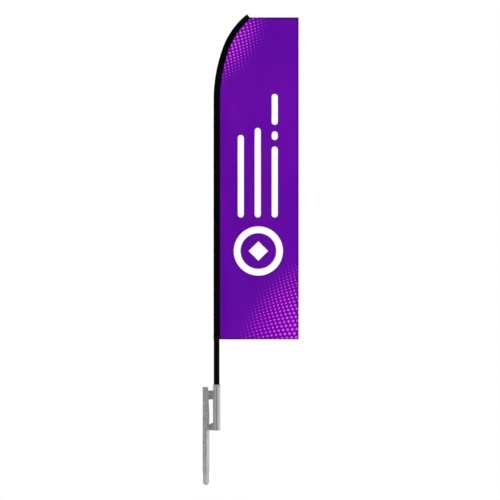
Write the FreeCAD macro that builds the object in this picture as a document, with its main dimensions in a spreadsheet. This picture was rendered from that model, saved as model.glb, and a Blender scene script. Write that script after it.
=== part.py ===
"""Feather flag on a curved, push-fit pole that stands and turns in the socket of a steel ground stake.

Frame: the origin is on the socket's axis at ground level, +Z is up along the pole, +X points to the
free edge of the flag and -Y is the front. Millimetres throughout. Above ground the flag is 2.74 m high.
"""

import FreeCAD, Part
import math
import os
import Sketcher
from FreeCAD import Placement, Rotation, Vector

DOC = FreeCAD.newDocument("feather_flag")

# ---------------------------------------------------------------------------------------------------
# Driving dimensions
# ---------------------------------------------------------------------------------------------------

DIMENSIONS = [
    ("play", 0.3, "gap between pieces that move on each other"),
    ("snug", 0.05, "gap between pieces that are pressed or bonded together"),
    # ground stake
    ("spike_leg", 32, "width of each leg of the steel angle"),
    ("spike_wall", 3, "thickness of the steel angle"),
    ("spike_turn", 32.5, "degrees that the angle is turned about the vertical"),
    ("spike_corner", 64.8, "distance of the angle's corner to the left of the socket's axis"),
    ("spike_depth", 360, "length of the spike below ground"),
    ("spike_top", 287, "height of the face that the mallet strikes"),
    ("spike_root", 2.5, "radius inside the corner of the angle"),
    ("spike_toe", 1.8, "radius on the inner edge of each leg's toe"),
    ("spike_heel", 0.8, "radius on the angle's outer corner"),
    ("toe_cut_foot", 110, "height where the right leg's toe starts to be cut back"),
    ("toe_cut", 8.5, "distance that the toe is cut back at the top of the spike"),
    ("socket_od", 50.8, "outer diameter of the socket tube"),
    ("socket_wall", 2, "wall of the socket tube"),
    ("socket_height", 290, "height of the socket tube"),
    ("floor_plate", 4, "thickness of the plate welded in the socket's foot"),
    ("drain_hole", 6, "diameter of each drain hole"),
    ("drain_circle", 28, "circle that the drain holes lie on"),
    ("link_wall", 3, "thickness of the two bent plates that join spike and socket"),
    ("link_lap", 20, "length of each link plate that lies on the spike"),
    ("low_link", 39, "height of the lower link plate"),
    ("low_link_rise", 11, "extra height of the lower link plate beside the socket"),
    ("high_link", 59, "height of the upper link plate"),
    ("high_link_foot", 203.5, "height of the upper link plate's lower edge"),
    ("bead", 2.8, "radius of a weld bead, less than the plates are thick"),
    ("bead_inset", 3, "distance of a bead's ends from its plate's edges"),
    # bearings in the socket
    ("mouth_bush", 40, "length of the mouth bush inside the tube"),
    ("mouth_collar", 12, "height of the mouth bush above the tube"),
    ("mouth_lip", 3.4, "width of the collar's flat top"),
    ("cup_height", 36, "height of the pivot cup"),
    ("cup_floor", 6, "thickness of the pivot cup's floor"),
    # pole
    ("pole_od", 38.1, "outer diameter of the pole's two tubes"),
    ("pole_wall", 1.6, "wall of the pole's two tubes"),
    ("plug_head", 4, "thickness of the foot plug's head"),
    ("plug_stem", 30, "length of the foot plug inside the tube"),
    ("plug_rib", 0.6, "height of the foot plug's ribs"),
    ("joint_low", 960, "height of the joint between the two tubes"),
    ("joint_high", 1905, "height of the joint between tube and tip"),
    ("plug_in", 100, "length that each joint plugs in"),
    ("coupler_wall", 2, "wall of the coupler"),
    ("pin_od", 5, "diameter of the coupler's two pins"),
    ("pin_drop", 50, "distance of the pins below the lower joint"),
    ("collar_height", 8, "height of the ferrule's collar"),
    ("nose_height", 28, "height of the ferrule's tapered nose"),
    ("nose_wall", 2.5, "wall at the end of the ferrule's nose"),
    ("rod_seat", 90, "depth of the rod in the ferrule"),
    ("cross_pin_od", 4, "diameter of the pin through ferrule and rod"),
    ("cross_pin_drop", 50, "distance of the cross pin below the upper joint"),
    ("rod_foot", 20, "diameter of the fibreglass rod at its foot"),
    ("rod_waist", 16, "diameter of the rod where its bend tightens"),
    ("rod_end", 10, "diameter of the rod at its tip"),
    ("cap_od", 18, "diameter of the rubber cap on the rod"),
    ("cap_length", 30, "length of the rubber cap"),
    ("cap_gap", 3, "distance of the cap from the end of the sleeve"),
    # bend of the pole's top
    ("bend_foot", 2178, "height where the pole starts to bend"),
    ("long_bend", 990, "radius of the first, gentle stretch of the bend"),
    ("long_turn", 20.8, "degrees of the first stretch"),
    ("short_bend", 476, "radius of the second, tighter stretch"),
    ("short_turn", 30.4, "degrees of the second stretch"),
    # flag
    ("cloth", 0.6, "thickness of the sleeve's cloth"),
    ("sleeve_end", 34, "outside width of the sleeve at its top end"),
    ("pocket", 70, "length of the reinforced pocket at the sleeve's top"),
    ("pocket_cloth", 0.8, "thickness of the pocket's cloth"),
    ("binding", 24, "height of the band round the sleeve's open foot"),
    ("panel_cloth", 0.5, "thickness of the panel"),
    ("seam", 0.1, "gap between the panel's edge and the sleeve that it is sewn to"),
    ("flag_foot", 599.5, "height of the flag's lower edge"),
    ("flag_top", 2724.5, "height of the flag's upper edge"),
    ("flag_edge", 541.2, "distance of the flag's free edge from the pole's axis"),
]


class Size:
    """A length or angle: its number, and the expression on the sheet that gives it."""

    def __init__(self, value, text):
        self.value = float(value)
        self.text = text

    def _with(self, other, sign, number):
        return Size(number, f"({self.text} {sign} {as_size(other).text})")

    def __add__(self, other):
        return self._with(other, "+", self.value + as_size(other).value)

    def __sub__(self, other):
        return self._with(other, "-", self.value - as_size(other).value)

    def __mul__(self, other):
        return self._with(other, "*", self.value * as_size(other).value)

    def __truediv__(self, other):
        return self._with(other, "/", self.value / as_size(other).value)

    def __neg__(self):
        return Size(-self.value, f"(-1 * {self.text})")


def as_size(number):
    return number if isinstance(number, Size) else Size(number, repr(float(number)))


def sine(angle):
    return Size(math.sin(math.radians(angle.value)), f"sin({angle.text} * 1 deg)")


def cosine(angle):
    return Size(math.cos(math.radians(angle.value)), f"cos({angle.text} * 1 deg)")


def make_sheet():
    """The spreadsheet with the driving dimensions, and a Size for each of its aliases."""
    sheet = DOC.addObject("Spreadsheet::Sheet", "dims")
    sizes = {}
    for row, (alias, number, meaning) in enumerate(DIMENSIONS, start=1):
        sheet.set(f"A{row}", meaning)
        sheet.set(f"B{row}", str(number))
        sheet.setAlias(f"B{row}", alias)
        sizes[alias] = Size(number, f"dims.{alias}")
    DOC.recompute()
    return sizes


D = make_sheet()
ZERO = as_size(0)

POLE_R = D["pole_od"] / 2
POLE_BORE_R = POLE_R - D["pole_wall"]
COUPLER_R = POLE_BORE_R - D["play"]
SOCKET_R = D["socket_od"] / 2
SOCKET_BORE_R = SOCKET_R - D["socket_wall"]
GUIDE_R = POLE_R + D["play"]  # bores that the pole turns or slides in
CUP_FOOT = D["floor_plate"] + D["snug"]
POLE_FOOT = CUP_FOOT + D["cup_floor"] + D["snug"]
TUBE_FOOT = POLE_FOOT + D["plug_head"]
LIP_TOP = D["socket_height"] + D["mouth_collar"]


# ---------------------------------------------------------------------------------------------------
# Helpers for bodies and sketches
# ---------------------------------------------------------------------------------------------------


def new_body(label):
    body = DOC.addObject("PartDesign::Body", label)
    body.Label = label
    return body


def new_sketch(body, role, name, offset=ZERO):
    """A sketch on one of the body's own origin planes, moved along the plane's normal by offset."""
    sketch = body.newObject("Sketcher::SketchObject", name)
    plane = next(f for f in body.Origin.OriginFeatures if f.Role == role)
    sketch.AttachmentSupport = (plane, [""])
    sketch.MapMode = "FlatFace"
    if offset is not ZERO:
        sketch.setExpression("AttachmentOffset.Base.z", offset.text)
    return sketch


def hold(sketch, kind, *where, size):
    """Adds a dimension to the sketch and binds it to its size."""
    index = sketch.addConstraint(Sketcher.Constraint(kind, *where, size.value))
    sketch.setExpression(f"Constraints[{index}]", size.text)


def place_point(sketch, geometry, vertex, across, up):
    """Fixes a point of the sketch at two sizes from the sketch's origin."""
    for kind, axis, size in (("DistanceX", -2, across), ("DistanceY", -1, up)):
        if abs(size.value) < 1e-9:
            sketch.addConstraint(Sketcher.Constraint("PointOnObject", geometry, vertex, axis))
        else:
            hold(sketch, kind, -1, 1, geometry, vertex, size=size)


def draw_circle(sketch, radius, across=ZERO, up=ZERO):
    circle = Part.Circle(Vector(across.value, up.value, 0), Vector(0, 0, 1), radius.value)
    index = sketch.addGeometry(circle, False)
    place_point(sketch, index, 3, across, up)
    hold(sketch, "Radius", index, size=radius)


def draw_polygon(sketch, corners):
    """A closed outline through the corners, each an (across, up) pair of sizes."""
    corners = [(as_size(a), as_size(b)) for a, b in corners]
    places = [Vector(a.value, b.value, 0) for a, b in corners]
    count = len(corners)
    lines = [Part.LineSegment(places[i], places[(i + 1) % count]) for i in range(count)]
    first = sketch.addGeometry(lines, False)[0]
    for i in range(count):
        joined = Sketcher.Constraint("Coincident", first + i, 2, first + (i + 1) % count, 1)
        sketch.addConstraint(joined)
    for i, (across, up) in enumerate(corners):
        place_point(sketch, first + i, 1, across, up)


def pad(body, sketch, length, name):
    feature = body.newObject("PartDesign::Pad", name)
    feature.Profile = sketch
    feature.setExpression("Length", length.text)
    return feature


def cut_through(body, sketch, name):
    """A pocket both ways through the whole body, checked to have taken something away."""
    DOC.recompute()
    before = body.Shape.Volume
    feature = body.newObject("PartDesign::Pocket", name)
    feature.Profile = sketch
    feature.Type = "ThroughAll"
    feature.Midplane = True
    DOC.recompute()
    if not body.Shape.Volume < before:
        raise RuntimeError(f"{name} cut nothing from {body.Label}")
    return feature


def turn(body, corners, name):
    """A solid turned about the vertical from an outline of (radius, height) corners."""
    sketch = new_sketch(body, "XZ_Plane", name + "_outline")
    draw_polygon(sketch, corners)
    feature = body.newObject("PartDesign::Revolution", name)
    feature.Profile = sketch
    feature.ReferenceAxis = (sketch, ["V_Axis"])
    feature.Angle = 360
    return feature


def round_edges(body, radius, name, wanted):
    """A fillet on the edges whose middle passes the test."""
    DOC.recompute()
    edges = []
    for index, edge in enumerate(body.Shape.Edges, start=1):
        middle = edge.valueAt((edge.FirstParameter + edge.LastParameter) / 2)
        if wanted(edge, middle):
            edges.append(f"Edge{index}")
    solid = body.Tip
    feature = body.newObject("PartDesign::Fillet", name)
    feature.Base = (solid, edges)
    feature.setExpression("Radius", radius.text)
    return feature


def make_tube(label, radius, bore, foot, length):
    body = new_body(label)
    sketch = new_sketch(body, "XY_Plane", label + "_ring", foot)
    draw_circle(sketch, radius)
    draw_circle(sketch, bore)
    pad(body, sketch, length, label + "_wall")
    return body


def upright(edge):
    """True for a vertical straight edge."""
    ends = edge.Vertexes
    return len(ends) == 2 and abs(ends[0].Z - ends[1].Z) > 10 and edge.Curve.TypeId == "Part::GeomLine"


def cylinder(label, radius, height, base, direction=Vector(0, 0, 1)):
    """A Part cylinder: base is its (x, y, z) as sizes."""
    piece = DOC.addObject("Part::Cylinder", label)
    piece.setExpression("Radius", radius.text)
    piece.setExpression("Height", height.text)
    piece.Placement = Placement(Vector(), Rotation(Vector(0, 0, 1), direction))
    for axis, size in zip("xyz", base):
        piece.setExpression(f"Placement.Base.{axis}", as_size(size).text)
    return piece


def boolean(kind, label, base, tool):
    piece = DOC.addObject(kind, label)
    piece.Base = base
    piece.Tool = tool
    return piece


# ---------------------------------------------------------------------------------------------------
# Ground stake: a steel angle with a socket tube welded beside it
# ---------------------------------------------------------------------------------------------------

# The angle's corner points to the front. One leg runs left and the other right and back, so that the
# toe of the right leg meets the back of the link plates, which lie in the socket's own plane.
LEG_X = sine(D["spike_turn"])
LEG_Y = cosine(D["spike_turn"])
CORNER_X = -D["spike_corner"]
CORNER_Y = D["link_wall"] / 2 - D["spike_leg"] * LEG_Y
SPIKE_WIDTH = D["spike_leg"] * (LEG_X + LEG_Y)


def from_corner(left=ZERO, right=ZERO):
    """The point that lies so far along the left leg and so far along the right leg."""
    left, right = as_size(left), as_size(right)
    return (
        CORNER_X - left * LEG_Y + right * LEG_X,
        CORNER_Y + left * LEG_X + right * LEG_Y,
    )


def make_spike():
    leg, wall = D["spike_leg"], D["spike_wall"]
    body = new_body("spike_angle")
    outline = new_sketch(body, "XY_Plane", "spike_outline", -D["spike_depth"])
    draw_polygon(
        outline,
        [
            from_corner(),
            from_corner(right=leg),
            from_corner(left=wall, right=leg),
            from_corner(left=wall, right=wall),
            from_corner(left=leg, right=wall),
            from_corner(left=leg),
        ],
    )
    pad(body, outline, D["spike_depth"] + D["spike_top"], "spike_bar")

    def along(*corners):
        """A test for the upright edges that stand on these corners of the outline."""
        spots = [Vector(x.value, y.value, 0) for x, y in corners]

        def wanted(edge, middle):
            foot = Vector(middle.x, middle.y, 0)
            return upright(edge) and any(foot.distanceToPoint(spot) < 0.01 for spot in spots)

        return wanted

    round_edges(body, D["spike_root"], "root_radius", along(from_corner(left=wall, right=wall)))
    toes = along(from_corner(left=leg, right=wall), from_corner(left=wall, right=leg))
    round_edges(body, D["spike_toe"], "toe_radius", toes)
    round_edges(body, D["spike_heel"], "heel_radius", along(from_corner()))

    # Seen from the front the lower end is a half round as wide as the whole angle.
    radius = SPIKE_WIDTH / 2
    middle = CORNER_X - leg * LEG_Y + radius
    shoulder = radius - D["spike_depth"]
    margin = 5
    tip = new_sketch(body, "XZ_Plane", "tip_outline")
    centre = Vector(middle.value, shoulder.value, 0)
    circle = Part.Circle(centre, Vector(0, 0, 1), radius.value)
    arc = tip.addGeometry(Part.ArcOfCircle(circle, math.pi, 2 * math.pi), False)
    place_point(tip, arc, 3, middle, shoulder)
    hold(tip, "Radius", arc, size=radius)
    corners = [
        (middle - radius, shoulder),
        (middle - radius - margin, shoulder),
        (middle - radius - margin, shoulder - radius - margin),
        (middle + radius + margin, shoulder - radius - margin),
        (middle + radius + margin, shoulder),
        (middle + radius, shoulder),
    ]
    places = [Vector(x.value, z.value, 0) for x, z in corners]
    lines = [Part.LineSegment(a, b) for a, b in zip(places, places[1:])]
    first = tip.addGeometry(lines, False)[0]
    last = first + len(lines) - 1
    for i in range(first, last):
        tip.addConstraint(Sketcher.Constraint("Coincident", i, 2, i + 1, 1))
    tip.addConstraint(Sketcher.Constraint("Coincident", arc, 1, first, 1))
    tip.addConstraint(Sketcher.Constraint("Coincident", arc, 2, last, 2))
    for i, (across, up) in enumerate(corners[1:-1]):
        place_point(tip, first + i, 2, across, up)
    tip.addConstraint(Sketcher.Constraint("Horizontal", first))
    tip.addConstraint(Sketcher.Constraint("Horizontal", last))
    cut_through(body, tip, "tip_round")

    # The right leg's toe is cut back in a straight slope towards the top.
    toe = from_corner(right=leg)[0]
    slope = new_sketch(body, "XZ_Plane", "toe_outline")
    draw_polygon(
        slope,
        [
            (toe, D["toe_cut_foot"]),
            (toe + margin, D["toe_cut_foot"]),
            (toe + margin, D["spike_top"] + margin),
            (toe - D["toe_cut"], D["spike_top"] + margin),
            (toe - D["toe_cut"], D["spike_top"]),
        ],
    )
    cut_through(body, slope, "toe_slope")
    return body


def link_outline(sketch):
    """A plate that laps the spike's right leg, bends into the socket's plane and runs into the tube."""
    lap = D["spike_leg"] - D["link_lap"]
    half = D["link_wall"] / 2
    # How far along the leg the lap's front meets the flat part's front.
    bend = (D["link_wall"] * LEG_X - half - CORNER_Y) / LEG_Y
    draw_polygon(
        sketch,
        [
            from_corner(right=lap),
            from_corner(right=D["spike_leg"]),
            (-SOCKET_BORE_R, half),
            (-SOCKET_BORE_R, -half),
            from_corner(left=-D["link_wall"], right=bend),
            from_corner(left=-D["link_wall"], right=lap),
        ],
    )


def make_links():
    high = new_body("upper_link_plate")
    sketch = new_sketch(high, "XY_Plane", "upper_link_outline", D["high_link_foot"])
    link_outline(sketch)
    pad(high, sketch, D["high_link"], "upper_link_pad")

    low = new_body("lower_link_plate")
    sketch = new_sketch(low, "XY_Plane", "lower_link_outline")
    link_outline(sketch)
    pad(low, sketch, D["low_link"] + D["low_link_rise"], "lower_link_pad")
    for plate in (high, low):
        tube_side = new_sketch(plate, "XY_Plane", plate.Label + "_tube_side")
        draw_circle(tube_side, SOCKET_R)
        cut_through(plate, tube_side, plate.Label + "_end")
    # The upper edge slopes down from the socket to the spike's toe and then runs level.
    toe_x = from_corner(right=D["spike_leg"])[0] + 1
    over = 5
    slope = new_sketch(low, "XZ_Plane", "lower_link_slope")
    draw_polygon(
        slope,
        [
            (CORNER_X, D["low_link"]),
            (toe_x, D["low_link"]),
            (-SOCKET_R, D["low_link"] + D["low_link_rise"]),
            (-SOCKET_R, D["low_link"] + D["low_link_rise"] + over),
            (CORNER_X, D["low_link"] + D["low_link_rise"] + over),
        ],
    )
    cut_through(low, slope, "lower_link_cut")
    return high, low


def make_socket():
    tube = make_tube("socket_tube", SOCKET_R, SOCKET_BORE_R, ZERO, D["socket_height"])

    plate = new_body("socket_floor_plate")
    disc = new_sketch(plate, "XY_Plane", "floor_disc")
    draw_circle(disc, SOCKET_BORE_R - D["snug"])
    pad(plate, disc, D["floor_plate"], "floor_disc_pad")
    hole = new_sketch(plate, "XY_Plane", "drain_outline")
    draw_circle(hole, D["drain_hole"] / 2, D["drain_circle"] / 2)
    drain = cut_through(plate, hole, "drain_hole")
    ring = plate.newObject("PartDesign::PolarPattern", "drain_holes")
    ring.Originals = [drain]
    ring.Axis = (disc, ["N_Axis"])
    ring.Angle = 360
    ring.Occurrences = 3
    plate.Tip = ring

    bush = new_body("socket_mouth_bush")
    inside = SOCKET_BORE_R - D["snug"]
    top = D["socket_height"]
    turn(
        bush,
        [
            (GUIDE_R, top - D["mouth_bush"]),
            (inside, top - D["mouth_bush"]),
            (inside, top),
            (SOCKET_R, top),
            (SOCKET_R - 1, top + 4),
            (GUIDE_R + D["mouth_lip"], LIP_TOP),
            (GUIDE_R, LIP_TOP),
        ],
        "bush_turned",
    )
    return tube, plate, bush


def make_beads(label, spots):
    """Weld beads: uprights of bead radius, less the steel that they lie in the corner of.

    Each spot is (x, y, foot, height, the pieces that cut into the bead)."""
    beads = []
    for number, (x, y, foot, height, steel) in enumerate(spots, start=1):
        run = height - D["bead_inset"] * 2
        bead = cylinder(f"{label}_rod_{number}", D["bead"], run, (x, y, foot + D["bead_inset"]))
        for other in steel:
            bead = boolean("Part::Cut", f"{label}_{number}_clear_of_{other.Label}", bead, other)
        beads.append(bead)
    group = DOC.addObject("Part::Compound", label)
    group.Label = label
    group.Links = beads
    return group


def make_welds(spike, high, low):
    """Two beads at the socket and one at the spike for each link plate, and one at the spike's toe."""
    core = cylinder("socket_envelope", SOCKET_R, D["socket_height"], (ZERO, ZERO, ZERO))
    half = D["link_wall"] / 2
    plates = [
        (high, D["high_link_foot"], D["high_link"]),
        (low, ZERO, D["low_link"]),
    ]
    at_socket, at_spike = [], []
    for plate, foot, height in plates:
        for side in (-1, 1):
            at_socket.append((-SOCKET_R, half * side, foot, height, (core, plate)))
        lap = from_corner(right=D["spike_leg"] - D["link_lap"])
        at_spike.append((*lap, foot, height, (spike, plate)))
    toe = from_corner(right=D["spike_leg"])
    at_spike.append((*toe, ZERO, D["low_link"], (spike, low)))
    return make_beads("socket_welds", at_socket), make_beads("spike_welds", at_spike)


# ---------------------------------------------------------------------------------------------------
# Pivot cup and pole
# ---------------------------------------------------------------------------------------------------


def make_cup():
    """Stands on the socket's floor plate, holds the pole's foot and turns with it."""
    cup = new_body("pivot_cup")
    outside = SOCKET_BORE_R - D["play"]
    floor = CUP_FOOT + D["cup_floor"]
    rim = CUP_FOOT + D["cup_height"]
    lead_in = 2
    drain = 4
    turn(
        cup,
        [
            (drain, CUP_FOOT),
            (outside, CUP_FOOT),
            (outside, rim),
            (GUIDE_R + lead_in, rim),
            (GUIDE_R, rim - lead_in),
            (GUIDE_R, floor),
            (drain, floor),
        ],
        "cup_turned",
    )
    return cup


def make_foot_plug():
    plug = new_body("foot_plug")
    bore = POLE_BORE_R - D["snug"]
    stem = bore - D["plug_rib"]
    chamfer = 1.5
    rib = 3
    outline = [
        (0, POLE_FOOT),
        (POLE_R - chamfer, POLE_FOOT),
        (POLE_R, POLE_FOOT + chamfer),
        (POLE_R, TUBE_FOOT),
        (stem, TUBE_FOOT),
    ]
    for rib_foot in (4, 13, 22):
        outline += [
            (stem, TUBE_FOOT + rib_foot),
            (bore, TUBE_FOOT + rib_foot),
            (bore, TUBE_FOOT + rib_foot + rib),
            (stem, TUBE_FOOT + rib_foot + rib),
        ]
    outline += [(stem, TUBE_FOOT + D["plug_stem"]), (0, TUBE_FOOT + D["plug_stem"])]
    turn(plug, outline, "plug_turned")
    return plug


def make_tubes():
    """The two straight tubes and the coupler that is pinned in the lower one."""
    base = make_tube("base_pole_tube", POLE_R, POLE_BORE_R, TUBE_FOOT, D["joint_low"] - TUBE_FOOT)
    middle = make_tube(
        "middle_pole_tube", POLE_R, POLE_BORE_R, D["joint_low"], D["joint_high"] - D["joint_low"]
    )
    coupler_bore = COUPLER_R - D["coupler_wall"]
    coupler = make_tube(
        "joint_coupler", COUPLER_R, coupler_bore, D["joint_low"] - D["plug_in"], D["plug_in"] * 2
    )
    pin_z = D["joint_low"] - D["pin_drop"]
    for body in (base, coupler):
        sketch = new_sketch(body, "XZ_Plane", body.Label + "_pin_hole")
        draw_circle(sketch, D["pin_od"] / 2 + D["snug"], ZERO, pin_z)
        cut_through(body, sketch, body.Label + "_pin_holes")

    # One rod across the pole, cut flush with the tube outside and the coupler's bore inside.
    rod = cylinder("pin_rod", D["pin_od"] / 2, D["pole_od"], (ZERO, POLE_R, pin_z), Vector(0, -1, 0))
    skin = cylinder("pin_skin", POLE_R - D["snug"], D["joint_low"], (ZERO, ZERO, ZERO))
    core = cylinder("pin_core", coupler_bore, D["joint_low"], (ZERO, ZERO, ZERO))
    flush = boolean("Part::Common", "pins_flush", rod, skin)
    pins = boolean("Part::Cut", "coupler_pins", flush, core)
    return base, middle, coupler, pins


def make_ferrule():
    """Bonded on the rod's foot: a plug for the middle tube, a collar that sits on it, and a nose."""
    ferrule = new_body("tip_ferrule")
    joint = D["joint_high"]
    bore = D["rod_foot"] / 2 + D["snug"]
    collar_top = joint + D["collar_height"]
    nose_top = collar_top + D["nose_height"]
    chamfer = 2
    turn(
        ferrule,
        [
            (0, joint - D["plug_in"]),
            (COUPLER_R - chamfer, joint - D["plug_in"]),
            (COUPLER_R, joint - D["plug_in"] + chamfer),
            (COUPLER_R, joint),
            (POLE_R, joint),
            (POLE_R, collar_top - 1),
            (POLE_R - 1, collar_top),
            (bore + D["nose_wall"], nose_top),
            (bore, nose_top),
            (bore, joint - D["rod_seat"]),
            (0, joint - D["rod_seat"]),
        ],
        "ferrule_turned",
    )
    height = joint - D["cross_pin_drop"]
    sketch = new_sketch(ferrule, "XZ_Plane", "cross_pin_outline")
    draw_circle(sketch, D["cross_pin_od"] / 2 + D["snug"], ZERO, height)
    cut_through(ferrule, sketch, "cross_pin_hole")

    rod = cylinder(
        "cross_pin_rod", D["cross_pin_od"] / 2, D["pole_od"], (ZERO, POLE_R, height), Vector(0, -1, 0)
    )
    skin = cylinder("cross_pin_skin", COUPLER_R - D["snug"], joint, (ZERO, ZERO, ZERO))
    pin = boolean("Part::Common", "ferrule_cross_pin", rod, skin)
    return ferrule, pin


# ---------------------------------------------------------------------------------------------------
# The bend: one straight line and two tangent arcs, followed by the rod and by the sleeve
# ---------------------------------------------------------------------------------------------------


class Bend:
    """The pole's centre line, by its length from the ground up."""

    def __init__(self):
        self.foot = D["bend_foot"].value
        self.arcs = [
            (D["long_bend"].value, math.radians(D["long_turn"].value)),
            (D["short_bend"].value, math.radians(D["short_turn"].value)),
        ]
        self.knee = self.foot + self.arcs[0][0] * self.arcs[0][1]
        self.end = self.knee + self.arcs[1][0] * self.arcs[1][1]

    def at(self, length):
        """(point, direction) so far along the line; it runs on straight past its end."""
        point, lean = Vector(0, 0, min(length, self.foot)), 0.0
        left = length - self.foot
        for radius, turned in self.arcs:
            if left <= 0:
                break
            angle = min(left / radius, turned)
            centre = point + Vector(math.cos(lean), 0, -math.sin(lean)) * radius
            lean += angle
            point = centre - Vector(math.cos(lean), 0, -math.sin(lean)) * radius
            left -= radius * angle
        direction = Vector(math.sin(lean), 0, math.cos(lean))
        if left > 1e-9 and length > self.end:
            point = point + direction * left
        return point, direction

    def wire(self, start, stop):
        """The stretch of the line between two lengths, as tangent edges."""
        marks = [start] + [m for m in (self.foot, self.knee) if start < m < stop] + [stop]
        edges = []
        for a, b in zip(marks, marks[1:]):
            first, last = self.at(a)[0], self.at(b)[0]
            if b <= self.foot:
                edges.append(Part.LineSegment(first, last).toShape())
            else:
                edges.append(Part.Arc(first, self.at((a + b) / 2)[0], last).toShape())
        return Part.Wire(edges)

    def pipe(self, stations):
        """A solid of round section along the line through (length, radius) stations."""
        shell = Part.BRepOffsetAPI.MakePipeShell(self.wire(stations[0][0], stations[-1][0]))
        shell.setFrenetMode(True)
        for length, radius in stations:
            point, direction = self.at(length)
            ring = Part.Circle(point, direction, radius).toShape()
            shell.add(Part.Wire([ring]), False, False)
        shell.build()
        shell.makeSolid()
        return shell.shape()


BEND = Bend()
SLEEVE_R = GUIDE_R.value + D["cloth"].value
SLEEVE_END_R = D["sleeve_end"].value / 2


def sleeve_radius(length):
    """Outside radius of the sleeve: even up to the tighter bend, then tapering to its end."""
    share = max(0.0, (length - BEND.knee) / (BEND.end - BEND.knee))
    return SLEEVE_R + (SLEEVE_END_R - SLEEVE_R) * share


def sleeve_form(start, stop, grown=0.0):
    """The sleeve's outside between two lengths, grown by an allowance."""
    marks = [start] + [m for m in (BEND.foot, BEND.knee) if start < m < stop] + [stop]
    forms = []
    for a, b in zip(marks, marks[1:]):
        forms.append(BEND.pipe([(a, sleeve_radius(a) + grown), (b, sleeve_radius(b) + grown)]))
    whole = forms[0]
    for form in forms[1:]:
        whole = whole.fuse(form)
    return whole.removeSplitter()


def add_shape(label, shape):
    piece = DOC.addObject("Part::Feature", label)
    piece.Label = label
    piece.Shape = shape
    piece.Placement = Placement()
    return piece


def make_rod():
    """The tapered fibreglass rod, its cross-pin hole and the rubber cap on its end."""
    foot = D["joint_high"].value - D["rod_seat"].value
    end = BEND.end - D["cap_gap"].value - D["cap_length"].value / 2
    radii = [D[name].value / 2 for name in ("rod_foot", "rod_waist", "rod_end")]
    slim = radii[1] + (radii[0] - radii[1]) / 2
    spans = [
        BEND.pipe([(foot, radii[0]), (BEND.foot, slim)]),
        BEND.pipe([(BEND.foot, slim), (BEND.knee, radii[1])]),
        BEND.pipe([(BEND.knee, radii[1]), (end, radii[2])]),
    ]
    rod = spans[0].fuse(spans[1]).fuse(spans[2]).removeSplitter()
    height = D["joint_high"].value - D["cross_pin_drop"].value
    hole_r = D["cross_pin_od"].value / 2 + D["snug"].value
    hole = Part.makeCylinder(hole_r, 2 * radii[0] + 2, Vector(0, radii[0] + 1, height), Vector(0, -1, 0))
    rod = rod.cut(hole)

    # The cap is turned about the rod's own end: a bored stem under a half round.
    start, direction = BEND.at(end - D["cap_length"].value / 2)
    cap_r = D["cap_od"].value / 2
    body = Part.makeCylinder(cap_r, D["cap_length"].value - cap_r, start, direction)
    dome = Part.makeSphere(cap_r, start + direction * (D["cap_length"].value - cap_r))
    cap = body.fuse(dome).removeSplitter().cut(BEND.pipe([(BEND.knee, radii[1]), (end, radii[2])]))
    return add_shape("tip_rod", rod), add_shape("tip_cap", cap)


def make_sleeve():
    """The black cloth tube on the pole, the closed pocket at its top and the band at its foot."""
    foot, end = D["flag_foot"].value, BEND.end
    cloth, thick = D["cloth"].value, D["pocket_cloth"].value
    outside = sleeve_form(foot, end)
    sleeve = outside.cut(sleeve_form(foot - 1, end + 1, -cloth))

    start = end - D["pocket"].value
    pocket = sleeve_form(start, end, thick).cut(sleeve_form(start - 1, end + 1))
    point, direction = BEND.at(end)
    lid = Part.makeCylinder(SLEEVE_END_R + thick, thick, point, direction)
    pocket = pocket.fuse(lid).removeSplitter()

    ring_r = SLEEVE_R + thick
    band = Part.makeCylinder(ring_r, D["binding"].value, Vector(0, 0, foot))
    band = band.cut(Part.makeCylinder(SLEEVE_R, D["binding"].value, Vector(0, 0, foot)))
    return (
        add_shape("pole_sleeve", sleeve),
        add_shape("sleeve_top_pocket", pocket),
        add_shape("sleeve_foot_band", band),
    )


def beside_sleeve(start, stop, stand_off):
    """Edges along the sleeve's inner side between two lengths of the bend."""

    def place(length):
        point, direction = BEND.at(length)
        inward = Vector(direction.z, 0, -direction.x)
        return point + inward * (sleeve_radius(length) + stand_off)

    marks = [start] + [m for m in (BEND.foot, BEND.knee) if start < m < stop] + [stop]
    edges = []
    for a, b in zip(marks, marks[1:]):
        if b <= BEND.foot:
            edges.append(Part.LineSegment(place(a), place(b)).toShape())
        else:
            edges.append(Part.Arc(place(a), place((a + b) / 2), place(b)).toShape())
    return edges


def make_panel():
    """The printed panel: flat, with its left side cut to the sleeve, the band and the pocket."""
    foot, top, edge = (D[name].value for name in ("flag_foot", "flag_top", "flag_edge"))
    thick, webbing, seam = (D[name].value for name in ("panel_cloth", "pocket_cloth", "seam"))
    band_top = foot + D["binding"].value
    pocket_foot = BEND.end - D["pocket"].value
    runs = [
        beside_sleeve(foot, band_top, webbing + seam),
        beside_sleeve(band_top, pocket_foot, seam),
        beside_sleeve(pocket_foot, BEND.end, webbing + seam),
    ]
    outline = []
    for run in runs:
        if outline:
            step = (outline[-1].valueAt(outline[-1].LastParameter), run[0].valueAt(run[0].FirstParameter))
            outline.append(Part.LineSegment(*step).toShape())
        outline += run
    start = outline[0].valueAt(outline[0].FirstParameter)
    last = outline[-1].valueAt(outline[-1].LastParameter)
    corners = [last, Vector(last.x, 0, top), Vector(edge, 0, top), Vector(edge, 0, foot), start]
    outline += [Part.LineSegment(a, b).toShape() for a, b in zip(corners, corners[1:])]
    face = Part.Face(Part.Wire(outline))
    face.translate(Vector(0, -thick / 2, 0))
    return add_shape("flag_panel", face.extrude(Vector(0, thick, 0)))


# ---------------------------------------------------------------------------------------------------
# Build, check and write
# ---------------------------------------------------------------------------------------------------


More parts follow.
